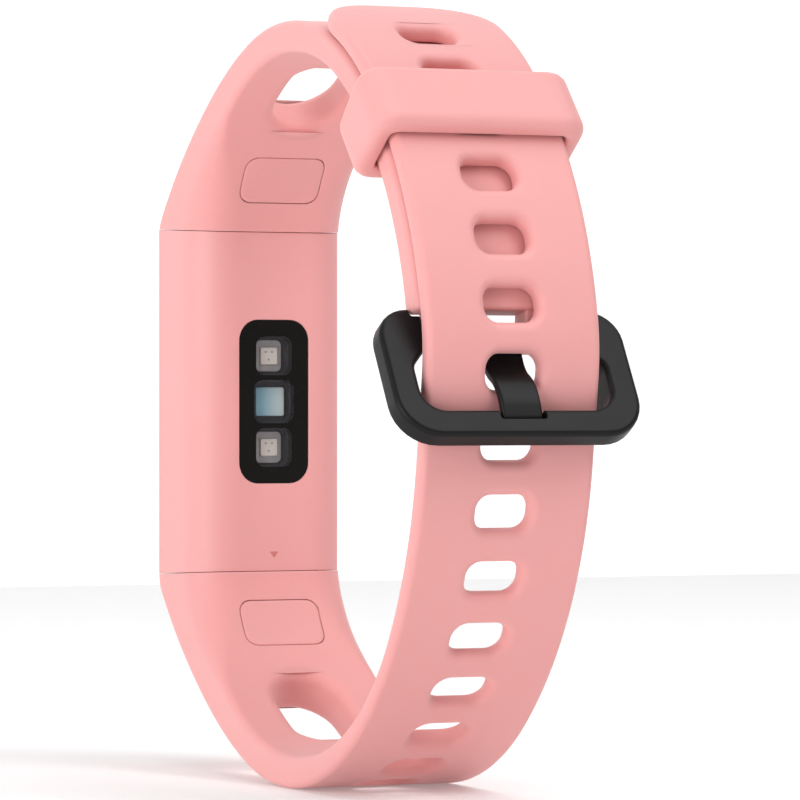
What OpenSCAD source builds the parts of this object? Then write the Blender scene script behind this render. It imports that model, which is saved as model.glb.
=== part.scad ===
// Fitness tracker band: a slim core held between two silicone straps, closed into a loop by a
// buckle with a tongue, a spring bar and a sliding keeper loop.
// Frame: origin at the centre of the sensor window's outer face, +X out of that face towards
// the wrist and the clasp, +Y across the band, +Z along the core towards the buckle strap.

/* [Core] */
// Width of the core and of the straps beside it
band_w = 18.5; // [18:0.1:19]
// Thickness of the core, skin face to display face
core_t = 12.6; // [12.2:0.1:13]
// Half length of the core at its skin face
seam_skin = 18.85; // [18.5:0.05:19.1]
// Half length of the core at its display face
seam_front = 19.45; // [19.2:0.05:19.6]
// Corner radius on the skin side
skin_r = 4.4; // [3.5:0.1:4.6]
// Corner radius on the display side
front_r = 1.4; // [1.2:0.1:1.6]
// Wall thickness of the housing
wall = 1.2; // [1.1:0.05:1.3]

/* [Sensor] */
// Width of the black sensor window
window_w = 8.2; // [7.6:0.1:8.6]
// Length of the sensor window
window_l = 18.1; // [17.4:0.1:18.6]
// Corner radius of the sensor window
window_r = 2.2; // [1.8:0.1:2.6]
// Distance from the middle well to each lamp well
well_pitch = 5.1; // [5:0.05:5.3]

/* [Strap] */
// Width of both straps away from the core
strap_w = 19.2; // [18.8:0.1:19.3]
// Thickness of the long strap
long_t = 1.95; // [1.85:0.05:2.05]
// Thickness of the short strap beside the keeper
short_t = 3.15; // [3:0.05:3.2]
// Gap between the two straps where they lie on each other
layer_gap = 0.2; // [0.15:0.05:0.3]
// Distance between adjustment holes
hole_pitch = 7.15; // [7.1:0.05:7.2]
// Number of adjustment holes
hole_count = 15; // [13:1:15]
// Width of an adjustment hole
hole_w = 6; // [5.8:0.1:6.2]
// Length of an adjustment hole along the strap
hole_l = 3.8; // [3.6:0.1:4]
// Width of the oval vents
vent_w = 7.4; // [6.6:0.1:7.8]
// Length of the oval vents along the strap
vent_l = 13; // [12:0.25:13.5]

/* [Clasp] */
// Outer width of the buckle frame
buckle_w = 27; // [26.8:0.1:27.4]
// Distance from the hinge line to the middle of the far bar
buckle_reach = 10.6; // [10.5:0.1:10.8]
// Tilt of the frame away from the strap
buckle_tilt = 31; // [30:0.5:32]
// Width of the buckle tongue
tongue_w = 4.4; // [4:0.1:4.6]
// Width of the keeper loop along the strap
keeper_w = 8; // [7:0.25:8.5]
// Wall thickness of the keeper loop
keeper_t = 2; // [1.8:0.1:2.1]

/* [Hidden] */

pink = [0.94, 0.65, 0.65];
black = [0.08, 0.08, 0.085];
graphite = [0.2, 0.2, 0.21];
board_green = [0.05, 0.28, 0.16];
steel = [0.72, 0.72, 0.74];
gold = [0.85, 0.65, 0.25];

eps = 0.01;        // overlap that makes a cut clean
arc_steps = 9;     // points on each arc of a strap outline
$fn = 48;

// ---- outlines in the X-Z plane -------------------------------------------------------------
// A strap's outline is a chain of arcs. A heading of 0 runs straight away from the core along
// the loop, 90 runs along +X and 180 runs back beside the wrist. side is +1 above the core
// and -1 below it.
function turn(p, r, a, b, side) =
    [p.x + r * (cos(a) - cos(b)), p.y + side * r * (sin(b) - sin(a))];
function arc(p, r, a, b, side) =
    [for (i = [1:arc_steps]) turn(p, r, a, a + (b - a) * i / arc_steps, side)];
function ahead(p, d, a, side) = [p.x + d * sin(a), p.y + side * d * cos(a)];
// The two radii that join p to q in one smooth curve, changing at heading b
function two_radii(p, q, a, b, c, side) =
    let(u = cos(a) - cos(b), v = side * (sin(b) - sin(a)))
    let(s = cos(b) - cos(c), t = side * (sin(c) - sin(b)))
    let(g = q - p, det = u * t - s * v)
    [(g.x * t - s * g.y) / det, (u * g.y - v * g.x) / det];
function inward(p, d, a, side) = [p.x + d * cos(a), p.y - side * d * sin(a)];

// Headings at which the outer and the skin-side curves change radius
out_a = 40.8;
out_b = 71;
out_c = 128;
skin_a = 38.6;
skin_b = 85;
lead_a = 171.5;    // heading of the straight length behind the buckle
over_a = 190.5;    // heading where the long strap has passed over the hinge

// Radii of the lower strap
kink_r = 3.5;
flank_r = 60.5;
bottom_r = 31.7;
foot_r = 15.7;
lead_l = 8.5;
over_r = 20;
clasp_r = 44.2;
tail_r = 33.3;
skin_start = 16.4; // height at which the skin face starts to curve
skin_c = 147.5;    // heading where the lower strap's skin face takes its last radius
tail_a = 232;      // heading where the tail follows the top of the loop
tip_a = 258.5;     // heading at the tail's tip

// Lower strap, outer face: seam to tail
lo0 = [-core_t, -19.2];
lo1 = turn(lo0, kink_r, 0, out_a, -1);
lo2 = turn(lo1, flank_r, out_a, out_b, -1);
lo3 = turn(lo2, bottom_r, out_b, out_c, -1);
side_r = -lo3.y / sin(out_c);
lo4 = turn(lo3, side_r, out_c, lead_a, -1);
lo5 = ahead(lo4, lead_l, lead_a, -1);
lo6 = turn(lo5, over_r, lead_a, over_a, -1);
lo7 = turn(lo6, clasp_r, over_a, tail_a, -1);
// Lower strap, skin face
li0 = [0, -skin_start];
li1 = turn(li0, foot_r, 0, skin_a, -1);
li4 = inward(lo4, long_t, lead_a, -1);
lower_skin = two_radii(li1, li4, skin_a, skin_c, lead_a, -1);
li2 = turn(li1, lower_skin[0], skin_a, skin_c, -1);
li5 = inward(lo5, long_t, lead_a, -1);
li6 = inward(lo6, long_t, over_a, -1);
li7 = inward(lo7, long_t, tail_a, -1);

// Centre and radius of the stretch that the keeper slides on
keeper_c = inward(lo6, clasp_r, over_a, -1);
short_out_r = clasp_r - long_t - layer_gap;
short_in_r = short_out_r - short_t;
short_end_a = 168.3; // heading at the short strap's end

// Upper strap, outer face, worked back from the keeper's stretch
uo3 = [keeper_c.x - short_out_r * cos(out_c), keeper_c.y + short_out_r * sin(out_c)];
top_r = tail_r - long_t - layer_gap;
uo2 = turn(uo3, top_r, out_c, out_b, 1);
upper_flank_r = (uo2.x + core_t - kink_r * (1 - cos(out_a))) / (cos(out_a) - cos(out_b));
uo1 = turn(uo2, upper_flank_r, out_b, out_a, 1);
uo0 = turn(uo1, kink_r, out_a, 0, 1);
uo4 = turn(uo3, short_out_r, out_c, short_end_a, 1);
// Upper strap, skin face: two radii that join the foot to the keeper's stretch
ui0 = [0, skin_start];
ui1 = turn(ui0, foot_r, 0, skin_a, 1);
ui3 = [keeper_c.x - short_in_r * cos(out_c), keeper_c.y + short_in_r * sin(out_c)];
upper_skin = two_radii(ui1, ui3, skin_a, skin_b, out_c, 1);
ui2 = turn(ui1, upper_skin[0], skin_a, skin_b, 1);
ui4 = turn(ui3, short_in_r, out_c, short_end_a, 1);

function reversed(v) = [for (i = [len(v) - 1:-1:0]) v[i]];

lower_out = concat([lo0], arc(lo0, kink_r, 0, out_a, -1),
    arc(lo1, flank_r, out_a, out_b, -1), arc(lo2, bottom_r, out_b, out_c, -1),
    arc(lo3, side_r, out_c, lead_a, -1), [lo5], arc(lo5, over_r, lead_a, over_a, -1),
    arc(lo6, clasp_r, over_a, tail_a, -1), arc(lo7, tail_r, tail_a, tip_a, -1));
lower_in = concat([li0], arc(li0, foot_r, 0, skin_a, -1),
    arc(li1, lower_skin[0], skin_a, skin_c, -1), arc(li2, lower_skin[1], skin_c, lead_a, -1), [li5],
    arc(li5, over_r - long_t, lead_a, over_a, -1), arc(li6, clasp_r - long_t, over_a, tail_a, -1),
    arc(li7, tail_r - long_t, tail_a, tip_a, -1));

upper_out = concat([uo0], arc(uo0, kink_r, 0, out_a, 1),
    arc(uo1, upper_flank_r, out_a, out_b, 1), arc(uo2, top_r, out_b, out_c, 1),
    arc(uo3, short_out_r, out_c, short_end_a, 1));
upper_in = concat([ui0], arc(ui0, foot_r, 0, skin_a, 1),
    arc(ui1, upper_skin[0], skin_a, skin_b, 1), arc(ui2, upper_skin[1], skin_b, out_c, 1),
    arc(ui3, short_in_r, out_c, short_end_a, 1));

// ---- helpers --------------------------------------------------------------------------------
// Flat plate of the loop's side view, across the band
module across(w) { rotate([90, 0, 0]) linear_extrude(w, center = true) children(); }
// Rectangle with round corners, centred
module rounded(a, b, r) {
    square([a - 2 * r, b], center = true);
    square([a, b - 2 * r], center = true);
    for (i = [-1, 1], j = [-1, 1]) translate([i * (a / 2 - r), j * (b / 2 - r)]) circle(r);
}
// Plate between two depths, seen along X: y across, z along the core
module slab(x0, x1, w, l, r, z = 0) {
    translate([x0, 0, z]) rotate([90, 0, 90]) linear_extrude(x1 - x0) rounded(w, l, r);
}
module block(x0, x1, y0, y1, z0, z1) { translate([x0, y0, z0]) cube([x1 - x0, y1 - y0, z1 - z0]); }
// The core's cross section, shrunk by d
module core_section(d) {
    half = band_w / 2;
    flat = [[-d, half - skin_r], [-skin_r, half - d], [front_r - core_t, half - d],
        [d - core_t, half - front_r]];
    polygon(concat(flat, [for (i = [3:-1:0]) [flat[i].x, -flat[i].y]]));
    for (j = [-1, 1]) {
        translate([-skin_r, j * (half - skin_r)]) circle(skin_r - d);
        translate([front_r - core_t, j * (half - front_r)]) circle(front_r - d);
    }
}
// Everything between the two seams, shortened by d at each end
module between_seams(d) {
    across(band_w + 2) polygon([[-core_t - eps, d - seam_front], [eps, d - seam_skin],
        [eps, seam_skin - d], [-core_t - eps, seam_front - d]]);
}
module core_solid(d) {
    intersection() {
        translate([0, 0, -seam_front]) linear_extrude(2 * seam_front) core_section(d);
        between_seams(d);
    }
}
// Side view of all that lies beyond a seam
module beyond_seam(side) {
    slope = (seam_front - seam_skin) / core_t;
    polygon([[-40, side * (seam_front + seam_gap + slope * (40 - core_t))],
        [12, side * (seam_skin + seam_gap - 12 * slope)], [12, 0], [90, 0], [90, side * 90],
        [-40, side * 90]]);
}

// ---- core -----------------------------------------------------------------------------------
seam_gap = 0.05;          // gap between the core and each strap
split_x = -10.6;          // plane where the bezel meets the housing
glass_back = -11.72;      // inner face of the cover glass
ledge_x = -11.6;          // ledge that the glass is bonded to
glass_w = 15.4;
glass_l = 35.4;
plug_x0 = -3.3;           // depth range of the plug's tongue
plug_x1 = -1.4;
plug_w = 11.9;
plug_end = 27.9;          // distance of the plug's tip from the middle of the core
tab_x0 = -6.2;
tab_x1 = -2.6;
tab_w = 12;
tab_end = 23.2;
window_t = 0.9;
board_x = -2;             // face of the sensor board that the lamps stand on
lens_w = [4.3, 4.8, 4.3];

module lens_outline(i, grow = 0) { rounded(lens_w[i] + grow, lens_w[i] + grow, 1 + grow / 2); }
module wells(x0, x1, grow = 0) {
    for (i = [0:2]) translate([x0, 0, (i - 1) * well_pitch])
        rotate([90, 0, 90]) linear_extrude(x1 - x0) lens_outline(i, grow);
}

module rear_housing() {
    color(pink) difference() {
        intersection() {
            core_solid(0);
            translate([split_x, -20, -30]) cube([20, 40, 60]);
        }
        intersection() {
            core_solid(wall);
            translate([split_x - eps, -20, -seam_skin + 1.4])
                cube([20, 40, 2 * (seam_skin - 1.4)]);
        }
        slab(-wall - eps, eps, window_w + 0.1, window_l + 0.1, window_r + 0.05);
        block(plug_x0 - 0.05, plug_x1 + 0.05, -plug_w / 2 - 0.05, plug_w / 2 + 0.05, -22, -15);
        block(tab_x0 - 0.05, tab_x1 + 0.05, -tab_w / 2 - 0.05, tab_w / 2 + 0.05, 15, 22);
    }
}
module front_bezel() {
    color(pink) difference() {
        intersection() {
            core_solid(0);
            translate([-core_t - 1, -20, -30]) cube([core_t + 1 + split_x, 40, 60]);
        }
        slab(-core_t - 1, ledge_x, glass_w + 0.1, glass_l + 0.1, 2.05);
        slab(ledge_x - eps, split_x + eps, 14.5, 33.8, 1.5);
    }
}
module cover_glass() { color(black) slab(-core_t + 0.05, glass_back, glass_w, glass_l, 2); }
module display_seal() {
    color(graphite) difference() {
        slab(glass_back, ledge_x, glass_w - 0.1, glass_l - 0.1, 1.95);
        slab(glass_back - eps, ledge_x + eps, 14.6, 33.9, 1.5);
    }
}
module touch_film() { color(graphite) slab(glass_back, -11.55, 14.1, 30, 1); }
module display_panel() { color(black) slab(-11.55, -10.45, 12.6, 25, 0.6, 1); }
module display_flex() {
    color([0.75, 0.5, 0.15]) {
        block(-10.6, -10.45, -3, 3, -14.6, -11.5);
        block(-10.6, -5.2, -3, 3, -14.75, -14.6);
    }
}
module inner_frame() {
    color(graphite) difference() {
        union() {
            block(-10.3, -9.5, -7.6, 7.6, -17.2, 17.2);
            for (j = [-1, 1]) translate([0, j * 7.1, 0]) block(-9.5, -5.4, -0.5, 0.5, -17.2, 17.2);
        }
        block(-11, -9, -3.4, 3.4, -15.2, -13.8);
        block(-9.6, -5, 6, 8, 7.9, 17.3);
    }
}
module battery() { color([0.78, 0.78, 0.8]) slab(-9.5, -5.7, 12, 22.4, 0.8, -2.2); }
module battery_pad() { color(graphite) block(-5.7, -5.35, -5, 5, -11, 7); }
module main_board() {
    color(board_green) difference() {
        block(-5.35, -4.55, -7.4, 7.4, -17, 17);
        block(-6, -4, -3.2, 3.2, -14.95, -14.4);
    }
}
module processor_shield() { color(steel) block(-4.55, -3.5, -4.5, 4.5, 10.4, 16); }
module radio_chip() { color(black) block(-4.55, -3.8, -5, -1, -9.6, -5.6); }
module motion_sensor() { color(black) block(-4.55, -3.7, 2, 4.5, -12.8, -9.8); }
module vibration_motor() {
    color(steel) translate([-9.5, 0, 13.3]) rotate([0, 90, 0]) cylinder(h = 2.7, r = 3.6);
}
module antenna_strip() { color(gold) block(-9.4, -5.6, 6.9, 7.1, 8.2, 17); }
module sensor_board() {
    color(board_green) slab(board_x - 0.6, board_x, 7.8, 17.6, 1.8);
}
module light_baffle() {
    color(black) difference() {
        slab(board_x, -window_t, 7.8, 17.6, 1.8);
        wells(board_x - eps, -window_t + eps, -0.3);
    }
}
module sensor_window() {
    color(black) difference() {
        slab(-window_t, 0, window_w, window_l, window_r);
        wells(-window_t - eps, eps);
    }
}
module well_lenses() { color([0.5, 0.5, 0.55, 0.4]) wells(-window_t, 0, -0.02); }
module lamp(z) {
    color([0.8, 0.78, 0.7]) {
        slab(board_x, board_x + 0.3, 3.1, 3.5, 0.6, z);
        block(board_x + 0.3 - eps, board_x + 0.55, -1, 1, z - 0.95, z + 0.95);
    }
}
module lamp_upper() { lamp(well_pitch); }
module lamp_lower() { lamp(-well_pitch); }
module photodiode() { color([0.5, 0.62, 0.68]) block(board_x, board_x + 0.8, -1.7, 1.7, -1.6, 1.6); }
module usb_tongue() {
    color(black) block(plug_x0, plug_x1, -plug_w / 2, plug_w / 2, -plug_end, -16.2);
}
module usb_contacts() {
    color(gold) for (y = [-3.5, -1, 1, 3.5])
        block(plug_x0 - 0.06, plug_x0, y - 0.5, y + 0.5, -plug_end + 1, -seam_front - 1.25);
}
module upper_tab() { color(pink) block(tab_x0, tab_x1, -tab_w / 2, tab_w / 2, 17.1, tab_end); }
// Flat ring seal on the root of the plug or the tab, in a groove of the strap's socket
module root_seal(x0, x1, w, z0, z1) {
    difference() {
        block(x0 - 0.5, x1 + 0.5, -w / 2 - 0.5, w / 2 + 0.5, z0, z1);
        block(x0, x1, -w / 2, w / 2, z0 - 1, z1 + 1);
    }
}
module plug_seal() { color(black) root_seal(plug_x0, plug_x1, plug_w, -20.6, -19.75); }
module tab_seal() { color(black) root_seal(tab_x0, tab_x1, tab_w, 19.75, 20.6); }

// ---- straps ---------------------------------------------------------------------------------
// Point and heading on the long strap's outer face, s along it from the top of its straight
// length: positive towards the tail, negative towards the core.
function degrees(l, r) = l / r * 180 / PI;
over_l = over_r * (over_a - lead_a) * PI / 180;
clasp_l = clasp_r * (tail_a - over_a) * PI / 180;
side_l = side_r * (lead_a - out_c) * PI / 180;
function on_arc(p, r, a, l) = let(b = a + degrees(l, r)) [turn(p, r, a, b, -1), b];
function on_long(s) =
    s > over_l + clasp_l ? on_arc(lo7, tail_r, tail_a, s - over_l - clasp_l) :
    s > over_l ? on_arc(lo6, clasp_r, over_a, s - over_l) :
    s > 0 ? on_arc(lo5, over_r, lead_a, s) :
    s > -lead_l ? [ahead(lo5, s, lead_a, -1), lead_a] :
    s > -lead_l - side_l ? on_arc(lo4, side_r, lead_a, s + lead_l) :
    on_arc(lo3, bottom_r, out_c, s + lead_l + side_l);
// Where the tongue's hole is in the row, counted from the tail
tongue_hole = 7;
row_lift = 0.8;     // middle of the tongue's hole above the hinge side of the straight length
// A cutter square to the outer face, from above it to depth d below it; its X runs across the
// band and its Y along the strap
module square_to(pose, d, side) {
    translate([pose[0].x, 0, pose[0].y]) rotate([0, side * (pose[1] - 90), 0])
        mirror([0, 0, side < 0 ? 1 : 0]) translate([0, 0, -d]) rotate([0, 0, 90])
            linear_extrude(d + 3) children();
}
vent_a = 61.5;      // heading of the skin face at the middle of a vent
vent_lo = [turn(li1, lower_skin[0], skin_a, vent_a, -1), vent_a];
vent_up = [turn(ui1, upper_skin[0], skin_a, vent_a, 1), vent_a];
module vent(pose, side) {
    translate([pose[0].x, 0, pose[0].y]) rotate([0, side * (pose[1] - 90), 0])
        translate([0, 0, -12]) rotate([0, 0, 90]) linear_extrude(24)
            rounded(vent_w, vent_l, vent_w / 2 - 0.01);
}

inset_w = 9.4;      // plate set into each strap's skin face
inset_l = 5.6;
inset_z = 24.6;
inset_x = 1.1;
inset_t = 0.65;
inset_a = 24;
inset_room = 0.06;
// The plate itself, or its pocket when there is room around it and height above it
module inset(side, room = 0, above = 0) {
    translate([inset_x, 0, side * inset_z]) rotate([0, side * inset_a, 0])
        translate([-inset_t - room, 0, 0]) rotate([90, 0, 90])
            linear_extrude(inset_t + room + above)
                rounded(inset_w + 2 * room, inset_l + 2 * room, 1.4);
}

socket_w = 13.4;
module lower_socket_box() {
    block(plug_x0 - 0.7, plug_x1 + 0.7, -socket_w / 2, socket_w / 2, -plug_end - 0.4, -20.65);
}
module upper_socket_box() {
    block(tab_x0 - 0.9, tab_x1 + 0.9, -socket_w / 2, socket_w / 2, 20.65, tab_end + 1);
}
// A strap's solid from its side view: as wide as the core beside it, a little wider beyond
wide_x = 22;
module strap_body(outline) {
    intersection() {
        across(band_w) polygon(outline);
        block(-40, wide_x + eps, -20, 20, -60, 60);
    }
    intersection() {
        across(strap_w) polygon(outline);
        block(wide_x, 90, -20, 20, -60, 60);
    }
}
module lower_strap() {
    color(pink) difference() {
        intersection() {
            strap_body(concat(lower_out, reversed(lower_in)));
            union() {
                across(band_w + 2) beyond_seam(-1);
                block(40, 90, -20, 20, -1, 60);
                block(20, 50, -20, 20, 30, 60);
            }
        }
        for (i = [1:hole_count])
            square_to(on_long(row_lift + (tongue_hole - i) * hole_pitch), 6, -1)
                rounded(hole_w, hole_l, 1.4);
        vent(vent_lo, -1);
        inset(-1, inset_room, 1.5);
        lower_socket_box();
        block(plug_x0 - 0.5, plug_x1 + 0.5, -plug_w / 2 - 0.5, plug_w / 2 + 0.5, -21, -17);
    }
}
// Hinge of the buckle
hinge = [57.5, 6.4];
knuckle_r = 1.7;
knuckle_w = 16.2;
bar_r = 0.75;
bar_l = 15.6;
tip_r = 0.5;
tip_reach = 10.3;
frame_in_w = 21;

module on_hinge(w) { translate([hinge.x, 0, hinge.y]) rotate([90, 0, 0])
    linear_extrude(w, center = true) children(); }
module upper_strap() {
    color(pink) difference() {
        union() {
            intersection() {
                strap_body(concat(upper_out, reversed(upper_in)));
                across(band_w + 2) beyond_seam(1);
            }
            across(knuckle_w) polygon([uo4 - [0.02, 0], [hinge.x + 1.62, hinge.y + 0.5],
                [hinge.x - 1.62, hinge.y + 0.5], ui4 + [0.02, 0], ui4 + [0.2, 0.4],
                uo4 + [-0.2, 0.4]]);
            on_hinge(knuckle_w) circle(knuckle_r);
        }
        on_hinge(2 * strap_w) circle(bar_r + 0.05);
        block(50, 62, -tongue_w / 2 - 0.3, tongue_w / 2 + 0.3, 2, 8.5);
        vent(vent_up, 1);
        inset(1, inset_room, 1.5);
        upper_socket_box();
        block(tab_x0 - 0.5, tab_x1 + 0.5, -tab_w / 2 - 0.5, tab_w / 2 + 0.5, 17, 21);
    }
}
module lower_inset() { color(pink) inset(-1); }
module upper_inset() { color(pink) inset(1); }
module lower_socket() {
    color(graphite) difference() {
        lower_socket_box();
        block(plug_x0 - 0.12, plug_x1 + 0.1, -plug_w / 2 - 0.1, plug_w / 2 + 0.1,
            -plug_end - 0.1, -18);
    }
}
module upper_socket() {
    color(graphite) difference() {
        upper_socket_box();
        block(tab_x0 - 0.1, tab_x1 + 0.1, -tab_w / 2 - 0.1, tab_w / 2 + 0.1, 18, tab_end + 0.1);
    }
}

// ---- clasp ----------------------------------------------------------------------------------
collar_r = 0.6;
collar_y = 7;
module spring_bar_tube() {
    color(steel) on_hinge(bar_l) difference() { circle(bar_r); circle(collar_r + 0.03); }
}
module spring_bar_coil() {
    color(steel) on_hinge(2 * (collar_y - 0.9)) difference() { circle(0.55); circle(0.32); }
}
module spring_tip(side) {
    color(steel) translate([hinge.x, 0, hinge.y]) rotate([-side * 90, 0, 0]) {
        translate([0, 0, collar_y]) cylinder(h = 0.75, r = collar_r);
        translate([0, 0, collar_y]) cylinder(h = tip_reach - collar_y, r = tip_r);
    }
}
module spring_bar_tip_left() { spring_tip(-1); }
module spring_bar_tip_right() { spring_tip(1); }

// The frame's own axes: x from the hinge to the far bar, y across, z out of its broad face
module on_frame() {
    translate([hinge.x, 0, hinge.y]) rotate([0, 90 - buckle_tilt, 0]) children();
}
frame_z0 = -1;
frame_z1 = 1.4;
frame_top = -2.6;
frame_end = buckle_reach + 1.5;
bar_in = buckle_reach - 1.5;
ear_in = 8.4;         // inner face of each ear at the hinge
ear_step_x = -1.6;    // above this the ears step back to clear the strap's end
ear_step_y = 9.8;
frame_corner = 4.4;
opening_corner = 2.4;
opening_top = 1.6;
// A skirt under each arm stiffens the frame beside the strap
skirt_x0 = 2.4;
skirt_x1 = 8.4;
skirt_t = 1.2;
skirt_h = 2.4;
skirt_lap = 0.5;
module frame_skirts() {
    for (side = [-1, 1])
        translate([skirt_x0, side * (frame_in_w + skirt_t) / 2 - skirt_t / 2, frame_z0 - skirt_h])
            cube([skirt_x1 - skirt_x0, skirt_t, skirt_h + skirt_lap]);
}
module frame_outline(d) {
    translate([(frame_top + frame_end) / 2, 0])
        rounded(frame_end - frame_top - 2 * d, buckle_w - 2 * d, frame_corner - d);
}
module buckle_frame() {
    color(black) on_frame() difference() {
        union() {
            translate([0, 0, frame_z0]) linear_extrude(frame_z1 - frame_z0 - 0.5) frame_outline(0);
            translate([0, 0, frame_z0]) linear_extrude(frame_z1 - frame_z0) frame_outline(0.5);
            frame_skirts();
        }
        translate([0, 0, -5]) linear_extrude(10) translate([(bar_in + opening_top) / 2, 0])
            rounded(bar_in - opening_top, frame_in_w, opening_corner);
        translate([-6, -ear_in, -5]) cube([6 + opening_top + opening_corner, 2 * ear_in, 10]);
        translate([-6, -ear_step_y, -5]) cube([6 + ear_step_x, 2 * ear_step_y, 10]);
        translate([bar_in - 0.2, -tongue_w / 2 - 0.4, 0.35]) cube([1.4, tongue_w + 0.8, 3]);
        rotate([90, 0, 0]) cylinder(h = 2 * (tip_reach + 0.1), r = tip_r + 0.04, center = true);
    }
}
tongue_t = 0.9;
eye_r = 1.5;
// The tongue's bends, from the eye to the tip
tongue_path = [[0.54, -1], [1.9, -3.5], [4, -4.6], [5.15, -6.2], [5.72, -7.9]];
// A point beside bend i of the tongue, d to the left of its path
function unit(v) = v / norm(v);
function beside(i, d) =
    let(last = len(tongue_path) - 1)
    let(u = unit(tongue_path[max(i, 1)] - tongue_path[max(i, 1) - 1]))
    let(v = unit(tongue_path[min(i, last - 1) + 1] - tongue_path[min(i, last - 1)]))
    let(m = unit(u + v), c = m * u)
    tongue_path[i] + d / c * [-m.y, m.x];
module buckle_tongue() {
    steps = [0:len(tongue_path) - 1];
    left = [for (i = steps) beside(i, tongue_t / 2)];
    right = [for (i = steps) beside(i, -tongue_t / 2)];
    color(black) difference() {
        union() {
            on_hinge(tongue_w) circle(eye_r);
            on_hinge(tongue_w) polygon(concat(left, reversed(right)));
        }
        on_hinge(tongue_w + 1) circle(bar_r + 0.05);
    }
}
keeper_a = 41.5;    // angle of the keeper's middle above the horizontal
keeper_air = 0.25;  // room between the keeper and the straps
module keeper_loop() {
    half = degrees(keeper_w / 2, clasp_r);
    r0 = short_in_r - keeper_air;
    r1 = clasp_r + keeper_air;
    y1 = strap_w / 2 + keeper_air;
    color(pink) translate([keeper_c.x, 0, keeper_c.y]) rotate([90, 0, 0])
        rotate([0, 0, keeper_a - half]) rotate_extrude(angle = 2 * half, $fn = 200) difference() {
            translate([r0 - keeper_t, -y1 - keeper_t])
                square([r1 - r0 + 2 * keeper_t, 2 * (y1 + keeper_t)]);
            translate([r0, -y1]) square([r1 - r0, 2 * y1]);
        }
}

rear_housing();
front_bezel();
cover_glass();
touch_film();
display_panel();
display_seal();
display_flex();
inner_frame();
battery();
battery_pad();
main_board();
processor_shield();
radio_chip();
motion_sensor();
vibration_motor();
antenna_strip();
sensor_board();
sensor_window();
light_baffle();
well_lenses();
lamp_upper();
lamp_lower();
photodiode();
usb_tongue();
usb_contacts();
upper_tab();
plug_seal();
tab_seal();
upper_strap();
lower_strap();
upper_socket();
lower_socket();
upper_inset();
lower_inset();
spring_bar_tube();
spring_bar_coil();
spring_bar_tip_left();
spring_bar_tip_right();
buckle_frame();
buckle_tongue();
keeper_loop();
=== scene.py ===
# %% [markdown]
# # A fitness tracker band
# The working model holds every solid, joint and clearance of the band. This script loads it as a
# fixed frame and makes the surfaces that are seen: two moulded silicone straps, the pink housing,
# the black clasp and the sensor window. All lengths are millimetres until a mesh is made, when
# MM turns them into metres. Sizes come from the frame wherever a box can tell them.

# %% Load the frame
import math

import bmesh
import bpy
import numpy as np
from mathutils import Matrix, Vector


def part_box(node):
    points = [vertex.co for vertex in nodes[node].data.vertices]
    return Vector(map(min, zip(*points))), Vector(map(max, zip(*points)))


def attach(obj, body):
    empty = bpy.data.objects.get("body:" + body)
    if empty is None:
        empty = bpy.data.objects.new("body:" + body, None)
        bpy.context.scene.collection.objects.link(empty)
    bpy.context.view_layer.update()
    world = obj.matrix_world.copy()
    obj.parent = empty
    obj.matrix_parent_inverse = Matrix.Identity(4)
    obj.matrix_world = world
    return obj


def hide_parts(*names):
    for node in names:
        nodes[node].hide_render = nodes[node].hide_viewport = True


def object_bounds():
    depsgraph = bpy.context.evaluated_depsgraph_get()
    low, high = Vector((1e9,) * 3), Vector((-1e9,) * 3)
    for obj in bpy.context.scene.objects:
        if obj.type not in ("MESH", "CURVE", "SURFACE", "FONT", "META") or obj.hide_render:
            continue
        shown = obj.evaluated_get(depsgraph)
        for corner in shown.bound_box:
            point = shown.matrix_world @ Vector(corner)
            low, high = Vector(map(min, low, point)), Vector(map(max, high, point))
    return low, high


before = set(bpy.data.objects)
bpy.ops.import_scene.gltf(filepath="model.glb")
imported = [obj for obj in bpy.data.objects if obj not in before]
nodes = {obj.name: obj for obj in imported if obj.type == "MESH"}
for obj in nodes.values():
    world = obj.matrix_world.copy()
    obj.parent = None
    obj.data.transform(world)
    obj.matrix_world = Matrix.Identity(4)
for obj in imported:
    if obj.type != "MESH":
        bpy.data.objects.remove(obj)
cad_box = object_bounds()
MM = 0.001


def span(node, axis):
    """Lowest and highest place of a CAD solid along one axis, in millimetres."""
    low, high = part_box(node)
    return low[axis] / MM, high[axis] / MM


X, Y, Z = 0, 1, 2
band_w = 2 * span("rear_housing", Y)[1]
strap_w = 2 * span("lower_strap", Y)[1]
core_t = -span("front_bezel", X)[0]
print("band", round(band_w, 2), "mm wide, core", round(core_t, 2), "mm thick")

# %% [markdown]
# ## The loop's side view
# Seen from the side, each strap is a chain of arcs, as a mould maker would draw it. A heading of
# 0 runs straight away from the core, 90 runs towards the clasp and 180 comes back beside the
# wrist. One could draw these curves as Bezier splines by eye, but arcs keep the same radii as the
# working model, so the surfaces land exactly where the solids are.

# %% Walk along arcs and straights
def walk(start, heading, side, moves, step=0.1):
    """Rows of x, z, heading and distance along arcs (radius, new heading) and straights (0, length)."""
    rows = [(start[0], start[1], heading, 0.0)]
    for radius, amount in moves:
        x, z, h, s = rows[-1]
        length = amount if radius == 0 else radius * math.radians(amount - h)
        count = max(2, math.ceil(length / step))
        for i in range(1, count + 1):
            along = length * i / count
            if radius == 0:
                a = math.radians(h)
                rows.append((x + along * math.sin(a), z + side * along * math.cos(a), h, s + along))
                continue
            a = math.radians(h)
            b = a + along / radius
            dx = radius * (math.cos(a) - math.cos(b))
            dz = side * radius * (math.sin(b) - math.sin(a))
            rows.append((x + dx, z + dz, math.degrees(b), s + along))
    return np.array(rows)


def inward(p, distance, heading, side):
    """The point that lies a distance towards the wrist from p."""
    a = math.radians(heading)
    return (p[0] + distance * math.cos(a), p[1] - side * distance * math.sin(a))


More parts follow.
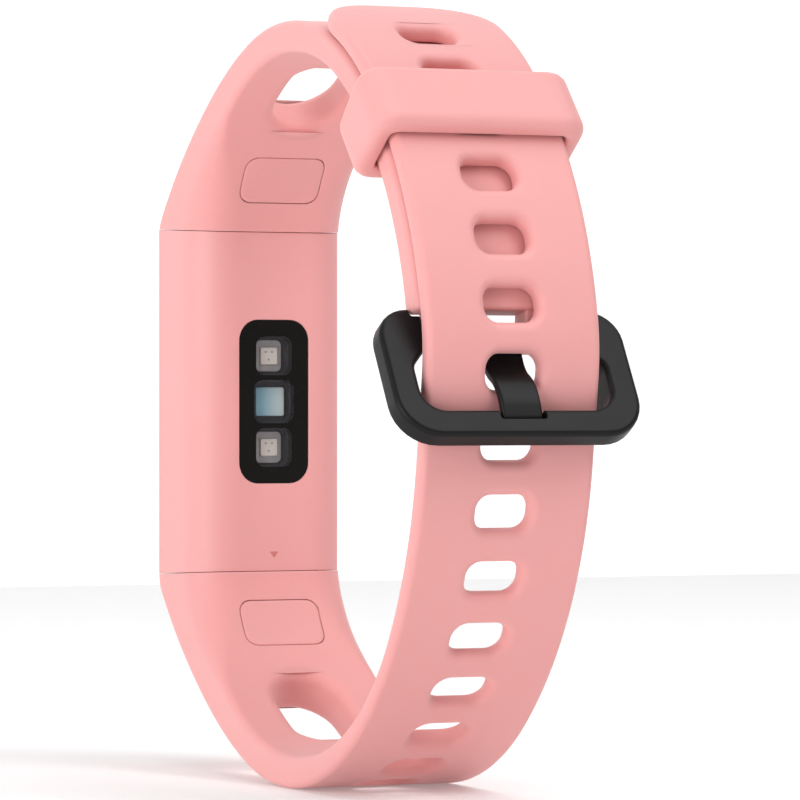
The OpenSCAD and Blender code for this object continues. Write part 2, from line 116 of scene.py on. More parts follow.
def two_radii(p, q, a, b, c, side):
    """The two radii that join p to q in one smooth curve, changing at heading b."""
    a, b, c = (math.radians(v) for v in (a, b, c))
    u, v = math.cos(a) - math.cos(b), side * (math.sin(b) - math.sin(a))
    s, t = math.cos(b) - math.cos(c), side * (math.sin(c) - math.sin(b))
    gx, gz = q[0] - p[0], q[1] - p[1]
    det = u * t - s * v
    return (gx * t - s * gz) / det, (u * gz - v * gx) / det


# %% [markdown]
# ## Four curves, two straps
# Each strap has a skin curve against the wrist and an outer curve. The long strap leaves the
# core below, runs up the clasp side and ends in a tail over the keeper; the short strap comes
# down from above and ends at the buckle. The short strap's curves could be measured apart, but
# they are worked out from the long strap's instead, one layer inwards, so that the layers never
# meet inside the keeper.

# %% Radii and headings of the two straps
LOWER, UPPER = -1, 1
long_t, short_t, layer_gap = 1.95, 3.15, 0.2
out_a, out_b, out_c = 40.8, 71, 128
foot_a, lead_a, over_a, tail_a, tip_a = 38.6, 171.5, 190.5, 232, 258.5
kink_r, flank_r, bottom_r, foot_r = 3.5, 60.5, 31.7, 15.7
lead_l, over_r, clasp_r, tail_r = 8.5, 20, 44.2, 33.3
lower_skin_b, upper_skin_b, short_end_a = 147.5, 85, 168.3
skin_start = 16.4
print("headings from", foot_a, "to", tip_a, "degrees")

# %% The long strap's curves
lower_start = (-core_t, -19.2)
lower_moves = [(kink_r, out_a), (flank_r, out_b), (bottom_r, out_c)]
side_r = -walk(lower_start, 0, LOWER, lower_moves)[-1][1] / math.sin(math.radians(out_c))
lower_moves.append((side_r, lead_a))
to_lead = walk(lower_start, 0, LOWER, lower_moves)[-1]
lower_moves.append((0, lead_l))
lead_end = walk(lower_start, 0, LOWER, lower_moves)[-1]
lower_moves.append((over_r, over_a))
over_end = walk(lower_start, 0, LOWER, lower_moves)[-1]
lower_moves += [(clasp_r, tail_a), (tail_r, tip_a)]
lower_outer = walk(lower_start, 0, LOWER, lower_moves)

lower_foot = walk((0, -skin_start), 0, LOWER, [(foot_r, foot_a)])[-1]
skin_lead = inward(to_lead, long_t, lead_a, LOWER)
r1, r2 = two_radii(lower_foot, skin_lead, foot_a, lower_skin_b, lead_a, LOWER)
lower_inner = walk((0, -skin_start), 0, LOWER, [(foot_r, foot_a), (r1, lower_skin_b), (r2, lead_a),
    (0, lead_l), (over_r - long_t, over_a), (clasp_r - long_t, tail_a), (tail_r - long_t, tip_a)])
print("long strap", round(lower_inner[-1][3]), "mm along the skin")

# %% The short strap's curves
keeper_c = inward(over_end, clasp_r, over_a, LOWER)
short_outer_r = clasp_r - long_t - layer_gap
short_inner_r = short_outer_r - short_t
top_r = tail_r - long_t - layer_gap


def around_keeper(radius, heading):
    """A point on the keeper's stretch of the upper strap."""
    a = math.radians(heading)
    return (keeper_c[0] - radius * math.cos(a), keeper_c[1] + radius * math.sin(a))


def back(p, radius, a, b):
    """The point from which an arc of the upper strap with headings a to b ends at p."""
    a, b = math.radians(a), math.radians(b)
    return (p[0] - radius * (math.cos(a) - math.cos(b)), p[1] - radius * (math.sin(b) - math.sin(a)))


top_end = around_keeper(short_outer_r, out_c)
top_start = back(top_end, top_r, out_b, out_c)
cos_a, cos_b = math.cos(math.radians(out_a)), math.cos(math.radians(out_b))
upper_flank_r = (top_start[0] + core_t - kink_r * (1 - cos_a)) / (cos_a - cos_b)
upper_start = back(back(top_start, upper_flank_r, out_a, out_b), kink_r, 0, out_a)
upper_outer = walk(upper_start, 0, UPPER, [(kink_r, out_a), (upper_flank_r, out_b),
    (top_r, out_c), (short_outer_r, short_end_a)])
upper_foot = walk((0, skin_start), 0, UPPER, [(foot_r, foot_a)])[-1]
r1, r2 = two_radii(upper_foot, around_keeper(short_inner_r, out_c), foot_a, upper_skin_b, out_c, UPPER)
upper_inner = walk((0, skin_start), 0, UPPER, [(foot_r, foot_a), (r1, upper_skin_b), (r2, out_c),
    (short_inner_r, short_end_a)])
print("short strap", round(upper_inner[-1][3]), "mm along the skin")

# %% [markdown]
# ## From two curves to a strap
# A strap's thickness changes from a thick wedge at the core to a thin band at the tail. A plain
# sweep can't do that, so each place is written as (s, y, d): s runs along the skin face, y goes
# across and d is the depth from the skin face. The table below holds, for every s, the skin
# point, the direction through the material and the thickness in that direction.

# %% The table of a strap
seam_skin, seam_front, seam_gap, seam_edge = 18.85, 19.45, 0.05, 0.04
seam_lean = math.degrees(math.atan2(seam_front - seam_skin, core_t))
fan_l = 13


class Strip:
    """Turns (s, y, d) into a point, for a strap between a skin curve and an outer curve."""

    def __init__(self, skin, outer, side):
        near = skin[:, 3] < 12
        start = np.interp(seam_skin + seam_gap, side * skin[near, 1], skin[near, 3])
        self.s = np.arange(0, skin[-1][3] - start, 0.1)
        self.side = side
        self.x = np.interp(self.s + start, skin[:, 3], skin[:, 0])
        self.z = np.interp(self.s + start, skin[:, 3], skin[:, 1])
        heading = np.interp(self.s + start, skin[:, 3], skin[:, 2])
        ease = np.clip(self.s / fan_l, 0, 1)
        ease = ease * ease * (3 - 2 * ease)
        lean = np.radians(seam_lean + (heading - seam_lean) * ease)
        self.dx = -np.cos(lean)
        self.dz = side * np.sin(lean)
        self.heading = heading
        rx = outer[None, :, 0] - self.x[:, None]
        rz = outer[None, :, 1] - self.z[:, None]
        cross = self.dx[:, None] * rz - self.dz[:, None] * rx
        depth = self.dx[:, None] * rx + self.dz[:, None] * rz
        hit = (cross[:, :-1] * cross[:, 1:] <= 0) & (depth[:, :-1] > 0.5)
        depth_at = np.where(hit, depth[:, :-1], np.inf)
        j = depth_at.argmin(axis=1)
        i = np.arange(len(self.s))
        part = cross[i, j] / (cross[i, j] - cross[i, j + 1] + 1e-12)
        self.t = depth[i, j] + part * (depth[i, j + 1] - depth[i, j])
        self.out_s = outer[j, 3] + part * (outer[j + 1, 3] - outer[j, 3])
        self.length = self.s[-1]

    def thick(self, s):
        return float(np.interp(s, self.s, self.t))

    def at(self, s, y, d):
        x, z = np.interp(s, self.s, self.x), np.interp(s, self.s, self.z)
        dx, dz = np.interp(s, self.s, self.dx), np.interp(s, self.s, self.dz)
        return (x + d * dx, y, z + d * dz)

    def rows(self, a, b, step):
        """Even stations from a to b at which neither face moves on by more than a step."""
        s = np.linspace(a, b, 200)
        skin = np.array([self.at(v, 0, 0) for v in s])
        outer = np.array([self.at(v, 0, self.thick(v)) for v in s])
        move = np.maximum(np.linalg.norm(np.diff(skin, axis=0), axis=1),
                          np.linalg.norm(np.diff(outer, axis=0), axis=1))
        total = np.concatenate([[0], np.cumsum(move)])
        count = max(1, math.ceil(total[-1] / step))
        return list(np.interp(np.linspace(0, total[-1], count + 1), total, s))


lower = Strip(lower_inner, lower_outer, LOWER)
upper = Strip(upper_inner, upper_outer, UPPER)
print("wedge", round(lower.thick(0), 1), "mm, tail", round(lower.thick(lower.length - 1), 2), "mm")

# %% [markdown]
# ## Clay
# Every piece here starts as a list of points and a list of faces, joined loop by loop. This is
# the plainest way to make a mesh in Blender and the one that gives the most control: fillets
# are simply a few more loops. The Clay class keeps the bookkeeping in one place.

# %% Points and faces of one piece
def collection_link(obj):
    bpy.context.scene.collection.objects.link(obj)
    return obj


class Clay:
    """Points and faces of one piece while it is being made, in millimetres."""

    def __init__(self):
        self.points = []
        self.faces = []

    def loop(self, points):
        start = len(self.points)
        self.points.extend(points)
        return list(range(start, len(self.points)))

    def skirt(self, a, b):
        """Quads between two closed loops of the same length."""
        n = len(a)
        for i in range(n):
            j = (i + 1) % n
            self.faces.append((a[i], a[j], b[j], b[i]))

    def lid(self, a):
        self.faces.append(tuple(a))

    def mesh(self, name):
        data = bpy.data.meshes.new(name)
        data.from_pydata([tuple(c * MM for c in p) for p in self.points], [], self.faces)
        work = bmesh.new()
        work.from_mesh(data)
        bmesh.ops.remove_doubles(work, verts=work.verts, dist=1e-7)
        lids = [face for face in work.faces if len(face.verts) > 4]
        bmesh.ops.triangulate(work, faces=lids)
        bmesh.ops.recalc_face_normals(work, faces=work.faces)
        work.to_mesh(data)
        work.free()
        return data

    def piece(self, name):
        return collection_link(bpy.data.objects.new(name, self.mesh(name)))


print("clay to metres: times", MM)

# %% [markdown]
# ## Cutting and polishing
# A boolean takes one solid from another or joins two, and the exact solver keeps the result
# closed. It is applied at once, so that the tool can go. The last step is the same for every
# piece: smooth shading that stays sharp at real edges, normals weighted towards the broad faces
# so that fillets shade softly, a finish, and the body that the piece moves with.

# %% Cut, apply and polish
def cut(piece, tool, operation="DIFFERENCE"):
    """A boolean with another piece, applied at once; the tool is thrown away."""
    step = piece.modifiers.new("cut", "BOOLEAN")
    step.operation = operation
    step.solver = "EXACT"
    step.object = tool
    apply_all(piece)
    bpy.data.objects.remove(tool)
    return piece


def apply_all(piece):
    bpy.context.view_layer.update()
    graph = bpy.context.evaluated_depsgraph_get()
    baked = bpy.data.meshes.new_from_object(piece.evaluated_get(graph))
    piece.modifiers.clear()
    piece.data = baked
    return piece


SHARP = math.radians(46)


def polish(piece, look, body, slot, *replaced):
    """Smooth shading, a finish, a body to ride on and the CAD solids that the piece stands for."""
    for face in piece.data.polygons:
        face.use_smooth = True
    piece.data.set_sharp_from_angle(angle=SHARP)
    piece.data.materials.clear()
    piece.data.materials.append(look)
    normals = piece.modifiers.new("even_normals", "WEIGHTED_NORMAL")
    normals.weight = 80
    normals.keep_sharp = True
    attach(piece, body)
    if replaced:
        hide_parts(*replaced)
    print(piece.name, len(piece.data.polygons), "faces")
    return piece


print("edges stay sharp above", round(math.degrees(SHARP)), "degrees")

# %% [markdown]
# ## Finishes
# Each finish is one Principled shader with noise for its grain. The scale of a noise is per
# metre, so 3000 gives grains of a third of a millimetre. A real moulding is never one flat
# colour: the pigment drifts a little over a centimetre, and the sheen varies with the polish of
# the mould. Numbers that are the same all over are set on the shader itself. A painted texture
# would also do, but noise needs no unwrapping and stays sharp however close one looks.

# %% A helper for every finish
def finish(name, colour, drift=0.04, rough=0.5, rough_drift=0.06, grain=3000, bump=0.00001,
           cloud=70, **more):
    """Principled shader with a drifting colour, an uneven gloss and a fine grain."""
    made = bpy.data.materials.new(name)
    made.use_nodes = True
    tree = made.node_tree
    shader = tree.nodes["Principled BSDF"]
    place = tree.nodes.new("ShaderNodeTexCoord")
    patches = tree.nodes.new("ShaderNodeTexNoise")
    patches.inputs["Scale"].default_value = cloud
    patches.inputs["Detail"].default_value = 3
    tree.links.new(place.outputs["Object"], patches.inputs["Vector"])
    mix = tree.nodes.new("ShaderNodeMix")
    mix.data_type = "RGBA"
    mix.inputs["A"].default_value = tuple(c * (1 - drift) for c in colour) + (1,)
    mix.inputs["B"].default_value = tuple(min(1, c * (1 + drift)) for c in colour) + (1,)
    tree.links.new(patches.outputs["Fac"], mix.inputs["Factor"])
    tree.links.new(mix.outputs["Result"], shader.inputs["Base Color"])
    gloss = tree.nodes.new("ShaderNodeMapRange")
    gloss.inputs["To Min"].default_value = rough - rough_drift
    gloss.inputs["To Max"].default_value = rough + rough_drift
    tree.links.new(patches.outputs["Fac"], gloss.inputs["Value"])
    tree.links.new(gloss.outputs["Result"], shader.inputs["Roughness"])
    fine = tree.nodes.new("ShaderNodeTexNoise")
    fine.inputs["Scale"].default_value = grain
    fine.inputs["Detail"].default_value = 2
    tree.links.new(place.outputs["Object"], fine.inputs["Vector"])
    relief = tree.nodes.new("ShaderNodeBump")
    relief.inputs["Distance"].default_value = bump
    tree.links.new(fine.outputs["Fac"], relief.inputs["Height"])
    tree.links.new(relief.outputs["Normal"], shader.inputs["Normal"])
    for socket, value in more.items():
        shader.inputs[socket.replace("_", " ")].default_value = value
    return made


print("a noise scale of 3000 gives grains of", round(1000 / 3000, 2), "mm")

# %% [markdown]
# ## Silicone, plastic and glass
# The straps are matte silicone: light goes a little way in, so there is a touch of subsurface
# scattering, and a faint sheen stands for the powdery skin that silicone has. The housing is
# the same pink in hard plastic, a bit smoother. The clasp is matte black with little gloss, as a
# coated metal or a hard plastic would be, and the two windows are black glass.

# %% Outer finishes
pink = (0.78, 0.345, 0.335)
silicone = finish("silicone", pink, drift=0.03, rough=0.58, grain=2600, bump=0.000012,
    Subsurface_Weight=0.12, Subsurface_Scale=0.002, Sheen_Weight=0.2, Sheen_Roughness=0.5)
silicone.node_tree.nodes["Principled BSDF"].inputs["Subsurface Radius"].default_value = (1, 0.35, 0.3)
housing_pink = finish("housing_pink", (0.78, 0.365, 0.355), drift=0.02, rough=0.5, grain=5200,
    bump=0.000006, Subsurface_Weight=0.06, Subsurface_Scale=0.001)
buckle_black = finish("buckle_black", (0.01, 0.01, 0.0105), drift=0.12, rough=0.38, grain=4200,
    bump=0.000009, cloud=160, Specular_IOR_Level=0.14)
glass_black = finish("glass_black", (0.006, 0.006, 0.007), drift=0.1, rough=0.1, rough_drift=0.03,
    grain=900, bump=0.0000006)
window_black = finish("window_black", (0.008, 0.0082, 0.0076), drift=0.1, rough=0.28, rough_drift=0.04,
    grain=5000, bump=0.000001, Specular_IOR_Level=0.08)
print(len(bpy.data.materials), "finishes so far")

# %% [markdown]
# ## Round corners as loops
# The adjustment holes, the vents, the sensor window and the keeper all share one outline: a
# rectangle with round corners. The loop below always has m points along each long side and k
# along each short one, so it can be joined to a rectangle of mesh cells without a single stray
# triangle.

# %% The rounded rectangle
def side_point(u, half, r):
    """A point on one side of the outline: place along it and distance inside it."""
    quarter = math.pi * r / 2
    total = 2 * (half - r) + quarter
    flip = u > total / 2
    v = total - u if flip else u
    if v < quarter / 2:
        angle = (quarter / 2 - v) / r
        along, inside = -(half - r) - r * math.sin(angle), r - r * math.cos(angle)
    else:
        along, inside = -(half - r) + v - quarter / 2, 0.0
    return (-along if flip else along), inside


def rounded_loop(a, b, r, m, k):
    """Outline of half size a by b with corner radius r, as m + k + m + k points."""
    r = min(max(r, 0.001), min(a, b) - 1e-6)
    points = []
    for side in range(4):
        half, count = (a, m) if side % 2 == 0 else (b, k)
        total = 2 * (half - r) + math.pi * r / 2
        for i in range(count):
            along, inside = side_point(total * i / count, half, r)
            points.append(((along, inside - b), (a - inside, along),
                (-along, b - inside), (inside - a, -along))[side])
    return points


print("outline of a hole has", len(rounded_loop(3, 1.8, 1.5, 16, 8)), "points")

# %% [markdown]
# ## The strap builder
# A strap is a stack of sections. Each section is a rounded bar; its flat faces carry 22 columns
# so that a hole can take the place of some cells. Where a hole goes, the cells are left out and
# loops lead from their edge over a soft rim, down the wall and out of the other face.

# %% Sections, holes and pockets
COLUMNS = [-1, -0.87, -0.73] + [0.6 * (i / 8 - 1) for i in range(17)] + [0.73, 0.87, 1]
LAST = len(COLUMNS) - 1
CORNER = 6
WALL = 3


def quarter(cy, cd, r, start):
    """Points inside a quarter circle, without its two ends."""
    angles = [math.radians(start + 90 * i / CORNER) for i in range(1, CORNER)]
    return [(cy + r * math.cos(a), cd + r * math.sin(a)) for a in angles]


def section(w, t, rs, ro, e):
    """Closed outline of a bar, half width w, thickness t, both shrunk by e."""
    w, low, high = w - e, e, t - e
    rs, ro = max(rs - e, 0.02), max(ro - e, 0.02)
    rise = [low + rs + (high - ro - low - rs) * i / WALL for i in range(WALL + 1)]
    points = [(f * (w - rs), low) for f in COLUMNS]
    points += quarter(w - rs, low + rs, rs, -90)
    points += [(w, d) for d in rise]
    points += quarter(w - ro, high - ro, ro, 0)
    points += [(-f * (w - ro), high) for f in COLUMNS]
    points += quarter(ro - w, high - ro, ro, 90)
    points += [(-w, d) for d in reversed(rise)]
    points += quarter(rs - w, low + rs, rs, 180)
    return points


TOP = len(COLUMNS) + 2 * (CORNER - 1) + WALL + 1
print("a section has", 2 * TOP, "points")

# %% [markdown]
# ## Holes and pockets in a strap
# A hole could be cut with a boolean, but on a curved, soft-edged strap that leaves a ragged rim.
# Here each hole is planned before the mesh is made: it asks for a run of evenly spaced rows, and
# open_hole fills the gap with rings, each one a rounded rectangle bent with the strap.

# %% The plan of a hole, and its rings
def hole(s, a, b, r, reach, rows, outer_rim=0.9, skin_rim=0.4, columns=(3, LAST - 3), depth=None,
         face="through"):
    """A hole or pocket centred at s: half size a across, b along, corner radius r."""
    return dict(s=s, a=a, b=b, r=r, reach=reach, rows=rows, outer_rim=outer_rim,
                skin_rim=skin_rim, columns=columns, depth=depth, face=face)


def open_hole(clay, strip, grid, h):
    """Loops of one hole or pocket, from the left-out cells to the other face or a floor."""
    j0, j1 = h["columns"]
    i0, i1 = h["first"], h["first"] + h["rows"]
    m, k = j1 - j0, i1 - i0

    def border(index):
        return ([grid[i0][index(j)] for j in range(j0, j1)]
            + [grid[i][index(j1)] for i in range(i0, i1)]
            + [grid[i1][index(j)] for j in range(j1, j0, -1)]
            + [grid[i][index(j0)] for i in range(i1, i0, -1)])

    def ring(grow, depth):
        outline = rounded_loop(h["a"] + grow, h["b"] + grow, h["r"] + grow, m, k)
        return clay.loop([strip.at(h["s"] + ds, y, depth(h["s"] + ds)) for y, ds in outline])

    loops = []
    steps = [0, 22.5, 45, 67.5, 90]
    if h["face"] in ("through", "outer"):
        loops.append(border(lambda j: TOP + LAST - j))
        for angle in steps:
            a = math.radians(angle)
            rim = h["outer_rim"]
            loops.append(ring(rim * (1 - math.sin(a)),
                lambda s, drop=rim * (1 - math.cos(a)): strip.thick(s) - drop))
    if h["face"] == "outer":
        loops.append(ring(0, lambda s: strip.thick(s) - h["depth"]))
    if h["face"] == "skin":
        loops.append(ring(0, lambda s: h["depth"]))
    if h["face"] in ("through", "skin"):
        for angle in reversed(steps):
            a = math.radians(angle)
            rim = h["skin_rim"]
            loops.append(ring(rim * (1 - math.sin(a)), lambda s, drop=rim * (1 - math.cos(a)): drop))
        loops.append(border(lambda j: j))
    for a, b in zip(loops, loops[1:]):
        clay.skirt(a, b)
    if h["face"] == "skin":
        clay.lid(loops[0])
    if h["face"] == "outer":
        clay.lid(loops[-1])


print("the plan of a hole holds", ", ".join(hole(0, 1, 1, 0.5, 2, 8)))

# %% Sections joined into a strap
def build_strip(strip, start, end, half_w, skin_r, outer_r, holes, step=0.8, edge=0.15):
    """The whole strap as Clay. half_w, skin_r and outer_r are functions of s; start and end
    are lists of (s, shrink) rows that round off the two ends."""
    clay = Clay()
    stations = list(start)
    spots = sorted(holes, key=lambda h: h["s"])
    for one, other in zip(spots, spots[1:]):
        room = (other["s"] - one["s"]) / 2 - 0.05
        one["reach"] = min(one["reach"], room)
        other["reach"] = min(other["reach"], room)
    if spots:
        spots[-1]["reach"] = min(spots[-1]["reach"], end[0][0] - spots[-1]["s"] - 0.05)
    here = start[-1][0]
    for h in spots:
        stations += [(s, 0) for s in strip.rows(here, h["s"] - h["reach"], step)[1:]]
        h["first"] = len(stations) - 1
        ladder = np.linspace(h["s"] - h["reach"], h["s"] + h["reach"], h["rows"] + 1)
        stations += [(float(s), 0) for s in ladder[1:]]
        here = stations[-1][0]
    stations += [(s, 0) for s in strip.rows(here, end[0][0], step)[1:]]
    stations += list(end[1:])
    grid = []
    for s, e in stations:
        t = strip.thick(s)
        outline = section(half_w(s), t, skin_r(s), outer_r(s), e)
        grid.append(clay.loop([strip.at(s, y, d) for y, d in outline]))
    missing = set()
    for h in spots:
        j0, j1 = h["columns"]
        for i in range(h["first"], h["first"] + h["rows"]):
            for j in range(j0, j1):
                if h["face"] in ("through", "skin"):
                    missing.add((i, j))
                if h["face"] in ("through", "outer"):
                    missing.add((i, TOP + LAST - 1 - j))
    n = len(grid[0])
    for i in range(len(grid) - 1):
        for k in range(n):
            if (i, k) not in missing:
                j = (k + 1) % n
                clay.faces.append((grid[i][k], grid[i][j], grid[i + 1][j], grid[i + 1][k]))
    clay.lid(grid[0])
    clay.lid(grid[-1])
    for h in spots:
        open_hole(clay, strip, grid, h)
    return clay


def round_start(s, e, n=3):
    """Rows that round off an end by e, starting at s."""
    angles = [math.pi / 2 * i / n for i in range(n + 1)]
    return [(s + e * (1 - math.cos(a)), e * (1 - math.sin(a))) for a in angles]


def round_end(s, e, n=3):
    return [(2 * s - p, shrink) for p, shrink in reversed(round_start(s, e, n))]


def ease_between(a, b, length):
    """A function of s that goes smoothly from a at the seam to b a length further on."""
    def value(s):
        u = min(max(s / length, 0), 1)
        return a + (b - a) * u * u * (3 - 2 * u)
    return value


print("a rounded end has", len(round_start(0, 0.5)), "rows")

# %% [markdown]
# ## The long strap
# Fifteen adjustment holes follow each other every seven millimetres or so, with a soft flare on the
# outer side where the mould's pins have round shoulders. An oval vent opens the thick wedge, and
# a shallow groove outlines a plate on the skin face. The tail ends in a rounded tongue.

# %% Sizes of the straps' features
skin_r, front_r, thin_r = 4.4, 1.4, 0.75
hole_pitch, hole_count, tongue_hole, row_lift = 7.15, 15, 7, 0.8
hole_w, hole_l, hole_r = 6, 3.6, 1.5
vent_w, vent_l, vent_a = 7.4, 13, 61.5
plate_z, plate_w, plate_l, plate_r = 24.6, 9.4, 5.6, 1.4
tip_corner = 6.5


def where_on_outer(strip, s):
    """Skin-side place that lies under a distance along the outer face."""
    return float(np.interp(s, strip.out_s, strip.s))


def where_heading(strip, heading):
    return float(np.interp(heading, strip.heading, strip.s))


def where_height(strip, z):
    near = strip.s < 30
    return float(np.interp(z, (strip.side * strip.z)[near], strip.s[near]))


def vent(strip):
    return hole(where_heading(strip, vent_a), vent_w / 2, vent_l / 2, vent_w / 2 - 0.02, reach=8.1,
        rows=20, outer_rim=1.1, skin_rim=1.3)


def plate_groove(strip):
    return hole(where_height(strip, plate_z), plate_w / 2 + 0.07, plate_l / 2 + 0.07, plate_r,
        reach=3.3, rows=8, skin_rim=0.1, columns=(1, LAST - 1), depth=0.8, face="skin")


print("holes every", hole_pitch, "mm, each", hole_w, "by", hole_l, "mm")

# %% Long strap
holes = [vent(lower), plate_groove(lower)]
for i in range(1, hole_count + 1):
    spot = where_on_outer(lower, lead_end[3] + row_lift + (tongue_hole - i) * hole_pitch)
    holes.append(hole(spot, hole_w / 2, hole_l / 2, hole_r, reach=2.9, rows=8))
tail_end = lower.length - 0.7
widen = ease_between(band_w / 2, strap_w / 2, 32)


def long_half(s):
    left = tail_end - s
    if left >= tip_corner:
        return widen(s)
    inside = tip_corner - max(left, 0)
    return strap_w / 2 - tip_corner + math.sqrt(max(tip_corner ** 2 - inside ** 2, 0))


tip_rows = [tail_end - tip_corner * (1 - math.sin(math.radians(a))) for a in range(0, 91, 9)]
tip = [(s, 0) for s in tip_rows] + [(tail_end + 0.3, 0.1), (tail_end + 0.5, 0.3), (tail_end + 0.6, 0.6)]
long_strap = build_strip(lower, round_start(0, seam_edge), tip, long_half,
    ease_between(skin_r, thin_r, 16), ease_between(front_r, thin_r, 22), holes).piece("long_strap")
polish(long_strap, silicone, "band", "silicone_pink", "lower_strap")

# %% [markdown]
# ## Prisms
# The rest of the band is made of flat shapes with a thickness: lobes, plates, chips, the clasp.
# An extruded face with a bevel modifier would do; rings that step around each edge do the same
# without a modifier, and the radius of every edge is exact.

# %% A prism with rounded edges
def rounded_polygon(corners, radii, n=6):
    """A polygon whose corners are arcs, one radius each."""
    points = []
    count = len(corners)
    for i in range(count):
        p = Vector(corners[i])
        u = (Vector(corners[i - 1]) - p).normalized()
        v = (Vector(corners[(i + 1) % count]) - p).normalized()
        half = u.angle(v) / 2
        r = radii[i]
        reach = r / math.tan(half)
        centre = p + (u + v).normalized() * (r / math.sin(half))
        a, b = p + u * reach - centre, p + v * reach - centre
        turn = a.angle_signed(b)
        for j in range(n + 1):
            c, s = math.cos(-turn * j / n), math.sin(-turn * j / n)
            points.append((centre.x + a.x * c - a.y * s, centre.y + a.x * s + a.y * c))
    return points


def shrink(outline, d):
    """The outline moved inwards by d, along each point's own normal."""
    p = np.array(outline)
    ahead, behind = np.roll(p, -1, axis=0) - p, p - np.roll(p, 1, axis=0)
    ahead /= np.linalg.norm(ahead, axis=1)[:, None] + 1e-12
    behind /= np.linalg.norm(behind, axis=1)[:, None] + 1e-12
    along = ahead + behind
    along /= np.linalg.norm(along, axis=1)[:, None] + 1e-12
    area = np.sum(p[:, 0] * np.roll(p[:, 1], -1) - np.roll(p[:, 0], -1) * p[:, 1])
    inward_way = np.stack([-along[:, 1], along[:, 0]], axis=1) * (1 if area > 0 else -1)
    return [tuple(q) for q in p + inward_way * d]


def prism(outline, low, high, low_edge, high_edge, place, n=3):
    """Clay prism between two levels; place turns (u, v, level) into a point."""
    clay = Clay()
    rings = []
    for i in range(n + 1):
        a = math.pi / 2 * i / n
        rings.append((low_edge * (1 - math.sin(a)), low + low_edge * (1 - math.cos(a))))
    for i in range(n, -1, -1):
        a = math.pi / 2 * i / n
        rings.append((high_edge * (1 - math.sin(a)), high - high_edge * (1 - math.cos(a))))
    loops = []
    for inset, level in rings:
        loops.append(clay.loop([place(u, v, level) for u, v in shrink(outline, inset)]))
    for a, b in zip(loops, loops[1:]):
        clay.skirt(a, b)
    clay.lid(loops[0])
    clay.lid(loops[-1])
    return clay


CRISP = 0.01


def across_x(u, v, level):
    """Places a prism's outline in the skin face's plane and its levels along X."""
    return (level, u, v)


def block_outline(low, high, corner):
    """The outline of a block with rounded corners, from its two opposite corners."""
    return rounded_polygon([(low[1], low[2]), (high[1], low[2]), (high[1], high[2]), (low[1], high[2])],
        [corner] * 4)


sample = prism(block_outline((0, 0, 0), (1, 1, 1), 0.2), 0, 1, CRISP, CRISP, across_x)
print("a small block has", len(sample.faces), "faces")

# %% [markdown]
# ## The short strap
# It has the same wedge, vent and groove, and ends in two round lobes that hold the spring bar.
# Their corners are measured from the bar's centre, which the frame gives.
# The lobes are small prisms joined to the strap with a boolean union, because two bodies of
# different width meet there.

# %% Short strap
bar_low, bar_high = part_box("spring_bar_tube")
hinge_x = (bar_low.x + bar_high.x) / 2 / MM
hinge_z = (bar_low.z + bar_high.z) / 2 / MM
bar_r = (bar_high.x - bar_low.x) / 2 / MM
knuckle_w, slot_w, lobe_edge = 16.2, 5.0, 0.3
knuckle_r = 1.7
lobe_corners = [(1.5, 3.0), (knuckle_r, -knuckle_r), (-knuckle_r, -knuckle_r), (-1.2, 2.6)]
bore_r, bore_reach = bar_r + 0.05, 12

short_strap = build_strip(upper, round_start(0, seam_edge), round_end(upper.length - 0.05, 0.5),
    widen, ease_between(skin_r, thin_r, 16), ease_between(front_r, thin_r, 22),
    [vent(upper), plate_groove(upper)]).piece("short_strap")


def side_view(u, v, level):
    """Places a prism's outline in the loop's side view and its levels across the band."""
    return (u, level, v)


lobe = rounded_polygon([(hinge_x + x, hinge_z + z) for x, z in lobe_corners], [0.5, 1.6, 1.6, 0.5])
for a, b in ((-knuckle_w / 2, -slot_w / 2), (slot_w / 2, knuckle_w / 2)):
    cut(short_strap, prism(lobe, a, b, lobe_edge, lobe_edge, side_view).piece("lobe"), "UNION")
bore = [(hinge_x + bore_r * math.cos(math.radians(a)), hinge_z + bore_r * math.sin(math.radians(a)))
    for a in range(0, 360, 15)]
cut(short_strap, prism(bore, -bore_reach, bore_reach, CRISP, CRISP, side_view).piece("bore"))
polish(short_strap, silicone, "band", "silicone_pink", "upper_strap")

# %% [markdown]
# ## The plates in the straps
# Each strap has a plate let into its skin face. It is bent with the strap, so it goes through
# the same (s, y, d) table and stays flush with the silicone round it.

# %% Plates
PLATE_RINGS = [(0, 0.75), (0, 0.1), (-0.03, 0.03), (-0.1, 0.0), (-0.5, 0.0), (-1.3, 0.0), (-2.0, 0.0)]


def plate(strip, name, node):
    """A plate flush with the skin face, from rings of (growth, depth below the face)."""
    clay = Clay()
    spot = where_height(strip, plate_z)
    loops = []
    for grow, depth in PLATE_RINGS:
        outline = rounded_loop(plate_w / 2 + grow, plate_l / 2 + grow, plate_r + grow * 0.6, m=16, k=10)
        loops.append(clay.loop([strip.at(spot + ds, y, depth) for y, ds in outline]))
    for a, b in zip(loops, loops[1:]):
        clay.skirt(a, b)
    clay.lid(loops[0])
    clay.lid(loops[-1])
    return polish(clay.piece(name), silicone, "band", "silicone_pink", node)


plate(lower, "long_strap_plate", "lower_inset")
plate(upper, "short_strap_plate", "upper_inset")

# %% [markdown]
# ## The core
# The housing is one moulded shell with large round corners towards the skin. It goes through the
# same strip builder as the straps: its skin curve is a straight line and its thickness is the
# depth of the core. The pocket of the sensor window is planned like a hole in a strap, so that its
# rim stays soft; the hollow inside and the well under the window are cut with booleans, because
# nobody sees their edges.

# %% Core shells
split_x = -span("rear_housing", X)[0]


